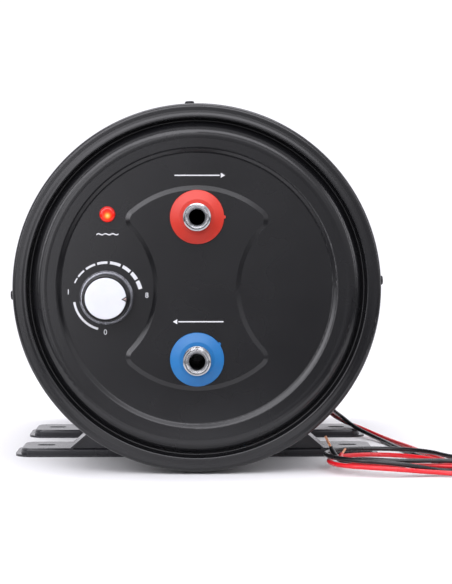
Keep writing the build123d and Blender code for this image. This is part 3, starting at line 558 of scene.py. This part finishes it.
# Two control points stand at each node of the hank, before and after it
def leadPoints(wire, hank):
    points = [backPoint(*spot) for spot in wire["route"]]
    nodes = [hankNode(k, wire, hank) for k in range(hank["firstNode"], hank["lastNode"] + 1)]
    nodes += [(backPoint(*spot), Vector(way).normalized()) for spot, way in wire["tail"]]
    for i, (spot, way) in enumerate(nodes):
        before = (spot - (nodes[i - 1][0] if i else points[-1])).length
        points.append(spot - way * before * hank["reach"])
        if i < len(nodes) - 1:
            after = (nodes[i + 1][0] - spot).length
            points.append(spot + way * after * hank["reach"])
    points.append(nodes[-1][0])
    return points


# Round NURBS bars, all of one curve
def drawBars(name, radius, paths, look):
    curve = bpy.data.curves.new(name, "CURVE")
    curve.dimensions = "3D"
    curve.bevel_depth = radius * mm
    curve.bevel_resolution = look["roundness"]
    curve.resolution_u = look["samples"]
    curve.use_fill_caps = True
    for path in paths:
        bar = curve.splines.new("NURBS")
        bar.points.add(len(path) - 1)
        for point, spot in zip(bar.points, path):
            point.co = (*spot, 1)
        bar.order_u = 3
        bar.use_endpoint_u = True
    bars = bpy.data.objects.new(name, curve)
    bpy.context.collection.objects.link(bars)
    return bars


def makeLead(name, wire, hank, look):
    points = leadPoints(wire, hank)
    lead = drawBars(name, look["diameter"] / 2, [points], look)
    lead.data.materials.append(finishes[wire["finish"]])
    return lead, points[0]


copperSettings = {
    "length": 10.9,
    "strandRadius": 0.34,
    "ringRadius": 0.70,
    "ringStrands": 6,
    "twist": 0.9,  # turns over the whole length
    "points": 9,
    "roundness": 2,
    "samples": 4,
}


# Seven twisted strands where the insulation was stripped off, one in the middle of six
def makeCopper(name, wire, look):
    end, way = backPoint(*wire["tail"][-1][0]), Vector(wire["tail"][-1][1]).normalized()
    side = way.orthogonal().normalized()
    other = way.cross(side)
    strands = []
    for i in range(-1, look["ringStrands"]):
        ring = 0 if i < 0 else look["ringRadius"] * mm
        strand = []
        for k in range(look["points"]):
            share = k / (look["points"] - 1)
            turn = math.tau * (i / look["ringStrands"] + look["twist"] * share)
            spot = end + way * look["length"] * mm * share
            strand.append(spot + (side * math.cos(turn) + other * math.sin(turn)) * ring)
        strands.append(strand)
    choose(drawBars(name, look["strandRadius"], strands, look))
    bpy.ops.object.convert(target="MESH")
    copper = bpy.context.object
    edit(copper)
    closePiece(copper, "bareCopper")
    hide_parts(wire["copper"])
    return copper


for wireName in ("black", "red"):
    wire = leadSettings[wireName]
    copper = makeCopper(f"{wireName}CopperStrands", wire, copperSettings)
    lead, exitPoint = makeLead(f"{wireName}SupplyLead", wire, hankSettings, leadSettings)
    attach(lead, "heater")
    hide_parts(f"{wireName}_lead", f"{wireName}_hank")
print("leads laid out")


# Front cover's groove as pressed: a broad shoulder, a narrow hollow and a low bead on the rim
grooveSettings = {
    "lip": (113.6, 1.01),  # radius and height, just over the ledge
    "startRadius": 115.6,
    "top": 1.14,
    "shoulderRound": 11.0,
    "shoulderTurn": 72.0,  # degrees that the shoulder bends down
    "hollowRound": 1.0,
    "wallTurn": 80.0,  # degrees that the groove's outer wall rises
    "bead": [(129.2, 0.45), (129.9, 0.75), (131.2, 0.6), (132.8, 0.25), (134.6, 0.05)],
    "beadRounds": [0.5, 0.8, 0.8, 0.8],
    "beadChords": 4,
    "back": [(134.6, -0.15), (131.0, -0.5), (130.2, -8.0), (124.5, -8.2), (113.6, 0.4)],
    "chords": 18,
    "steps": 360,
}


def makeGroove(look):
    start, size, chords = look["startRadius"], look["shoulderRound"], look["chords"]
    bend, rise = math.radians(look["shoulderTurn"]), math.radians(look["wallTurn"])
    low, hollow = look["top"] - size, look["hollowRound"]
    outline = [look["lip"]]
    for i in range(chords + 1):
        turn = bend * i / chords
        outline.append((start + size * math.sin(turn), low + size * math.cos(turn)))
    reach = size + hollow
    middle = (start + reach * math.sin(bend), low + reach * math.cos(bend))
    for i in range(1, chords + 1):
        turn = -bend + (bend + rise) * i / chords
        outline.append((middle[0] + hollow * math.sin(turn), middle[1] - hollow * math.cos(turn)))
    rim = rounded([outline[-1]] + look["bead"], look["beadRounds"], look["beadChords"])
    outline += rim[1:] + look["back"] + [outline[0]]
    groove = turnPiece("coverGroove", outline, (0, 0), look["steps"])
    closePiece(groove, "powderCoatedSteel")


makeGroove(grooveSettings)
print("cover's groove turned")


# Stainless water connections: turned bar, thread, neck behind it and chamfered open end
nippleSettings = {
    "hot_outlet_nipple": 54.0,  # height over the drum's axis
    "cold_inlet_nipple": -54.0,
    "inside": -62.0,  # both ends, out of the rim plane
    "end": 27.0,
    "outerRadius": 10.4775,
    "coreRadius": 9.3155,
    "boreRadius": 6.0,
    "neck": (5.8, 6.2, 8.2),  # where it starts, is down to the core and ends
    "endBevel": (0.5, 0.8),  # across and along
    "mouth": 2.1,
    "rounds": [0, 0.3, 0.2, 0.2, 0.2, 0.35, 0.25, 0.3],
    "roundChords": 3,
    "pitch": 1.814,
    "threadFrom": 8.4,
    "chamfer": 1.6,
    "ridgeFoot": 0.04,  # shares of one pitch
    "ridgeCrest": 0.40,
    "crestRound": 0.1,
    "sunk": 0.1,  # how far the ridge's foot lies under the core
    "smooth": 35,
    "steps": 96,
}


def makeThread(name, height, look):
    # One pitch of the ridge, wound by a screw modifier along the axis
    pitch, outer, core = look["pitch"], look["outerRadius"], look["coreRadius"] - look["sunk"]
    foot, crest, flank = look["ridgeFoot"], look["ridgeCrest"], outer - look["crestRound"]
    turns = round((look["end"] - look["chamfer"] / 2 - look["threadFrom"]) / pitch)
    outline = [(core, foot), (flank, crest), (outer, 0.5), (flank, 1 - crest), (core, 1 - foot)]
    ridge = drawLine(name, [Vector((r * mm, 0, share * pitch * mm)) for r, share in outline])
    bpy.ops.object.mode_set(mode="OBJECT")
    winding = ridge.modifiers.new("winding", "SCREW")
    winding.axis = "Z"
    winding.screw_offset = pitch * mm
    winding.iterations = turns
    winding.steps = look["steps"]
    winding.render_steps = look["steps"]
    winding.use_merge_vertices = True
    useModifier(ridge, "winding")
    reach = look["end"] - look["chamfer"] - look["threadFrom"]
    for point in ridge.data.vertices:  # the chamfer and the run-out cut the ridge down
        flat = math.hypot(point.co.x, point.co.y)
        spare = min(outer * mm, (outer + reach) * mm - point.co.z, core * mm + point.co.z)
        if flat > spare:
            share = max(spare, core * mm) / flat
            point.co = (point.co.x * share, point.co.y * share, point.co.z)
    ridge.rotation_euler = (math.radians(90), 0, 0)
    ridge.location = frontPoint(0, height, look["threadFrom"])
    applyPlace(ridge)
    return ridge


def makeNipple(name, look):
    inside, end, outer = look["inside"], look["end"], look["outerRadius"]
    core, bore, mouth = look["coreRadius"], look["boreRadius"], look["mouth"]
    (neckFrom, neckDown, neckTo), (across, along) = look["neck"], look["endBevel"]
    outline = [
        (bore, inside), (outer, inside), (outer, neckFrom), (core, neckDown), (core, neckTo),
        (core, end - along), (core - across, end), (bore + mouth, end), (bore, end - mouth),
        (bore, inside),
    ]
    outline = rounded(outline, look["rounds"], look["roundChords"])
    blank = turnPiece(f"{name}Blank", outline, (0, look[name]), look["steps"])
    bpy.ops.object.mode_set(mode="OBJECT")
    ridge = makeThread(f"{name}Thread", look[name], look)
    nipple = joinPieces([blank, ridge], f"{name}Turned")
    edit(nipple)
    closePiece(nipple, "turnedStainless", smooth=look["smooth"])
    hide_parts(name)


makeNipple("hot_outlet_nipple", nippleSettings)
makeNipple("cold_inlet_nipple", nippleSettings)
print("water connections turned")


# Cover screws: domed heads with a cross recess, round the covers' skirts
screwSettings = {
    "headRadius": 3.6,
    "headHeight": 2.2,
    "sides": 48,
    "round": 1.3,
    "roundChords": 5,
    "crossLength": 4.2,
    "crossWidth": 0.9,
    "crossDepth": 1.2,
    "cutterSpare": 0.2,  # how far the cutters stand out over the head
    "angles": (2.3, 92.3, 182.3),
    "drumRadius": 140.0,
    "back": 13.0,  # from each cover's rim plane
}


def makeScrew(look):
    height, depth, spare = look["headHeight"], look["crossDepth"], look["cutterSpare"]
    length, width = look["crossLength"], look["crossWidth"]
    head = startPiece("coverScrew", "cylinder", {
        "vertices": look["sides"], "radius": look["headRadius"] * mm,
        "depth": height * mm, "location": (0, 0, height / 2 * mm),
    })
    applyPlace(head)
    edit(head)
    bpy.ops.mesh.select_mode(type="EDGE")
    bpy.ops.mesh.select_all(action="DESELECT")
    bpy.ops.object.mode_set(mode="OBJECT")
    nearTop = height * mm * 0.99
    for edge in head.data.edges:
        edge.select = all(head.data.vertices[v].co.z > nearTop for v in edge.vertices)
    bpy.ops.object.mode_set(mode="EDIT")
    bpy.ops.mesh.bevel(offset=look["round"] * mm, segments=look["roundChords"])
    bpy.ops.object.mode_set(mode="OBJECT")
    for wide, deep in ((length, width), (width, length)):
        cutter = startPiece("crossCutter", "cube", {
            "size": 1, "location": (0, 0, (height - depth / 2 + spare / 2) * mm),
        })
        cutter.scale = (wide * mm, deep * mm, (depth + spare) * mm)
        applyPlace(cutter)
        cross = head.modifiers.new("cross", "BOOLEAN")
        cross.operation = "DIFFERENCE"
        cross.object = cutter
        useModifier(head, "cross")
        bpy.data.objects.remove(cutter)
    return head


def placeScrews(name, y, pattern, look):
    heads = []
    for angle in look["angles"]:
        head, turn = copyPiece(pattern), math.radians(angle)
        out = Vector((math.cos(turn), 0, math.sin(turn)))
        spot = Vector((0, y, axisZ)) + out * look["drumRadius"] * mm
        upright = out.to_track_quat("Z", "Y").to_matrix().to_4x4()
        head.matrix_world = Matrix.Translation(spot) @ upright
        applyPlace(head)
        heads.append(head)
    screws = joinPieces(heads, name)
    edit(screws)
    closePiece(screws, "blackenedSteel")
    return screws


patternScrew = makeScrew(screwSettings)
screwBack = screwSettings["back"] * mm
frontScrews = placeScrews("frontScrewHeads", frontY + screwBack, patternScrew, screwSettings)
rearScrews = placeScrews("rearScrewHeads", rearY - screwBack, patternScrew, screwSettings)
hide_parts("front_cover_screws")
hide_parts("rear_cover_screws")
bpy.data.objects.remove(patternScrew)
print("cover screws made")


# Screen-printed marks: flat films on the painted panel
printSettings = {
    "film": 0.06,
    "dialCentre": (-68.6, -7.0),
    "barMiddle": 26.5,
    "bars": [  # from, to, width: they grow towards the high end
        (155.3, 146.5, 1.0), (143.5, 129.7, 1.3), (125.7, 108.7, 1.6), (105.3, 88.3, 1.9),
        (84.3, 66.3, 2.2), (62.5, 47.8, 2.5), (44.6, 31.2, 2.8), (28.1, 14.2, 3.0),
    ],
    "offArc": (254.9, 188.1, 1.7),
    "offMiddle": 24.6,
    "chordTurn": 3,  # degrees of an arc that one chord takes
    "leastChords": 4,
    "numbers": [("1", 172.0, 29.2), ("8", 3.0, 30.6), ("0", 268.0, 26.4)],
    "numberHeight": 4.0,
    "waves": [(-73.2, 41.3), (-67.8, 41.3), (-62.4, 41.3)],
    "waveHeight": 8.0,
    "digitShare": 0.72,  # a digit's height in a font of size 1
}


def printArc(name, look, start, end, middle, width):
    centre, out = look["dialCentre"], panelOut + look["film"] / 2
    edges = (middle - width / 2, middle + width / 2)
    piece = drawLine(name, [frontPoint(*around(centre, r, end), out) for r in edges])
    bpy.ops.mesh.spin(
        steps=max(look["leastChords"], round(abs(start - end) / look["chordTurn"])),
        angle=math.radians(start - end), center=frontPoint(*centre), axis=(0, 1, 0),
    )
    bpy.ops.object.mode_set(mode="OBJECT")
    return piece


def thicken(piece, film):
    body = piece.modifiers.new("film", "SOLIDIFY")
    body.thickness = film * mm
    body.offset = 0
    useModifier(piece, "film")


def printSign(text, at, size, look):
    spot = frontPoint(*at, panelOut + look["film"] / 2)
    bpy.ops.object.select_all(action="DESELECT")
    bpy.ops.object.text_add(location=spot, rotation=(math.radians(90), 0, 0))
    sign = bpy.context.object
    sign.data.body = text
    sign.data.size = size * mm
    sign.data.align_x = "CENTER"
    sign.data.align_y = "CENTER"
    bpy.ops.object.convert(target="MESH")
    applyPlace(sign)
    return sign


def printDial(look):
    films = []
    for i, (start, end, width) in enumerate(look["bars"]):
        films.append(printArc(f"dialBar{i}", look, start, end, look["barMiddle"], width))
    start, end, width = look["offArc"]
    films.append(printArc("dialOffArc", look, start, end, look["offMiddle"], width))
    for text, degrees, radius in look["numbers"]:
        at = around(look["dialCentre"], radius, degrees)
        films.append(printSign(text, at, look["numberHeight"] / look["digitShare"], look))
    for at in look["waves"]:
        films.append(printSign("~", at, look["waveHeight"] / look["digitShare"], look))
    dial = joinPieces(films, "printedDial")
    thicken(dial, look["film"])
    edit(dial)
    closePiece(dial, "printedWhiteInk")


printDial(printSettings)
print("dial printed")


# Plain arrows over the ports: out of the heater for hot, into it for cold
arrowSettings = {
    "hotArrow": {"middle": (2.0, 85.5), "ground": panelOut, "way": 1},
    "coldArrow": {"middle": (1.0, -25.3), "ground": hourglassOut, "way": -1},
    "reach": 19.0,
    "line": 0.9,
    "head": 3.8,
}


def printArrow(name, look):
    (x, z), way = look[name]["middle"], look[name]["way"]
    reach, head, film = look["reach"], look["head"], printSettings["film"]
    out, upright = look[name]["ground"] + film / 2, math.radians(90)
    bar = startPiece(name, "plane", {
        "size": 1, "location": frontPoint(x - way * head / 2, z, out),
        "rotation": (upright, 0, 0),
    })
    bar.scale = ((2 * reach - head) * mm, look["line"] * mm, 1)
    applyPlace(bar)
    tip = startPiece(f"{name}Head", "circle", {
        "vertices": 3, "radius": head / math.sqrt(3) * mm, "fill_type": "NGON",
        "location": frontPoint(x + way * (reach - head / 2), z, out),
        "rotation": (upright, way * upright, 0),
    })
    applyPlace(tip)
    arrow = joinPieces([bar, tip], name)
    thicken(arrow, film)
    edit(arrow)
    closePiece(arrow, "printedWhiteInk")


printArrow("hotArrow", arrowSettings)
printArrow("coldArrow", arrowSettings)
print("arrows printed")


# Control knob: a bevelled base ring, a glossy black cap and a white disc let into it
knobSettings = {
    "centre": (-68.6, -7.0),
    "steps": 128,
    "turned": [  # outlines of radius and height out of the rim plane
        {
            "name": "knobBaseRing", "finish": "metallisedRing", "slot": "black_plastic",
            "outline": [
                (18.9, -0.3), (20.5, -0.3), (20.5, 0.9), (19.2, 2.9), (18.1, 2.9), (18.1, 1.1),
                (18.9, 0.9), (18.9, -0.3),
            ],
            "rounds": [0.2, 0.5, 0.3, 0.2, 0, 0], "chords": 4,
        },
        {
            "name": "knobCap", "finish": "polishedBlackAbs", "slot": "black_plastic",
            "replaces": "knob_body",
            "outline": [
                (17.0, -0.1), (18.6, -0.1), (18.6, 2.7), (17.7, 17.5), (15.6, 17.5),
                (15.6, 16.3), (0.01, 16.3), (0.01, 14.5), (16.1, 14.5), (17.0, -0.1),
            ],
            "rounds": [0.2, 0.4, 1.1, 0.15, 0, 0, 0, 0.5], "chords": 6,
        },
        {
            "name": "knobWhiteDisc", "finish": "polishedWhiteAbs", "slot": "white_plastic",
            "replaces": "knob_face",
            "outline": [(0.01, 16.4), (15.5, 16.4), (15.5, 17.85), (13.0, 17.97), (0.01, 18.0)],
            "rounds": [0.05, 0.5, 0], "chords": 4,
        },
    ],
    # The pointer: a three-sided wedge with a ridge, its point to the middle, on a dark seat
    "pointerTurn": -92,
    "pointerSmooth": 30,
    "bevelChords": 2,
    "pointer": [
        {
            "name": "knobPointerSeat", "finish": "polishedBlackAbs", "slot": "black_plastic",
            "kind": "cylinder", "sizes": {"radius": 3.0, "depth": 0.5},
            "spot": (-53.7, -7.5, 17.95), "bevel": 0.12,
        },
        {
            "name": "knobPointerWedge", "finish": "metallisedPlastic", "slot": "pointer_plastic",
            "replaces": "knob_pointer",
            "kind": "cone", "sizes": {"radius1": 2.4, "radius2": 0.9, "depth": 1.4},
            "spot": (-53.6, -7.5, 18.4), "bevel": 0.18,
        },
    ],
}


def closeKnobPiece(piece, part, smooth=40):
    closePiece(piece, part["finish"], "knob", smooth)
    if "replaces" in part:
        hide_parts(part["replaces"])


def makeKnob(look):
    for part in look["turned"]:
        outline = rounded(part["outline"], part["rounds"], part["chords"])
        piece = turnPiece(part["name"], outline, look["centre"], look["steps"])
        closeKnobPiece(piece, part)


def makePointer(look):
    turn = (math.radians(90), math.radians(look["pointerTurn"]), 0)
    for part in look["pointer"]:
        sizes = {side: size * mm for side, size in part["sizes"].items()}
        piece = startPiece(part["name"], part["kind"], {
            "vertices": 3, "location": frontPoint(*part["spot"]), "rotation": turn, **sizes,
        })
        applyPlace(piece)
        edit(piece)
        bpy.ops.mesh.bevel(offset=part["bevel"] * mm, segments=look["bevelChords"])
        closeKnobPiece(piece, part, look["pointerSmooth"])


makeKnob(knobSettings)
makePointer(knobSettings)
print("knob made")


# Floor and light: a white sheet under and behind, soft lamps above and at both sides
roomSettings = {
    "floorSize": 1.1,
    "floorMiddle": (0, 0.17, 0),
    "behindObject": 1.15,  # strength of the white wall that the camera sees
    "behindCamera": 0.84,  # strength of the dimmer half that the front reflects
    "below": 0.10,
    "horizon": 0.08,  # how far over and under the horizon the light changes
    "sides": (-0.1, 0.25),  # where the dimmer half ends and the white one begins
    "tint": (0.955, 0.945, 1.0, 1),  # a trace of blue, as from north windows
}
lampSettings = {  # place, aim, width and height, power
    "skySoftbox": ((0.0, 0.2, 2.2), (0, 0.15, 0.1), (2.4, 1.3), 37),
    "frontSoftbox": ((-0.15, -1.45, 1.22), (0, -0.19, 0.15), (2.0, 0.95), 24),
    "leftReflector": ((-0.48, -1.75, 0.32), (0, -0.19, 0.18), (0.45, 0.9), 3.4),
    "leftSoftbox": ((-1.7, -1.4, 0.9), (0, -0.2, 0.14), (0.4, 1.4), 12),
    "rightSoftbox": ((1.9, -0.8, 0.8), (0, -0.1, 0.12), (0.3, 1.1), 5),
}


def addFloor(look):
    floor = startPiece("studioFloor", "plane", {
        "size": look["floorSize"], "location": look["floorMiddle"],
    })
    floor.data.materials.append(finishes["whitePaperFloor"])


def addLamp(name, place, aim, size, power):
    bpy.ops.object.light_add(type="AREA", location=place)
    lamp = bpy.context.object
    lamp.name = name
    lamp.rotation_euler = (Vector(aim) - Vector(place)).to_track_quat("-Z", "Y").to_euler()
    lamp.data.energy = power
    lamp.data.color = roomSettings["tint"][:3]
    lamp.data.shape = "RECTANGLE"
    lamp.data.size, lamp.data.size_y = size


def lightRoom(look):
    # A white room whose half behind the camera is dimmer, and dimmer still low down
    world = bpy.data.worlds.new("studioRoom")
    world.use_nodes = True
    tree = world.node_tree
    way = addNode(tree, "ShaderNodeTexCoord").outputs["Generated"]
    parts = addNode(tree, "ShaderNodeSeparateXYZ", {}, {"Vector": way})
    high = addNode(tree, "ShaderNodeMapRange", {
        "From Min": -look["horizon"], "From Max": look["horizon"],
        "To Min": look["below"], "To Max": look["behindCamera"],
    }, {"Value": parts.outputs["Z"]})
    dimTo, whiteFrom = look["sides"]
    deep = addNode(tree, "ShaderNodeMapRange", {
        "From Min": dimTo, "From Max": whiteFrom, "To Max": look["behindObject"],
    }, {"Value": parts.outputs["Y"], "To Min": high.outputs["Result"]})
    background = tree.nodes["Background"]
    background.inputs["Color"].default_value = look["tint"]
    tree.links.new(deep.outputs["Result"], background.inputs["Strength"])
    bpy.context.scene.world = world
    bpy.context.scene.view_settings.view_transform = "Standard"


addFloor(roomSettings)
for lampName, lampLine in lampSettings.items():
    addLamp(lampName, *lampLine)
lightRoom(roomSettings)
print("floor and lights set")
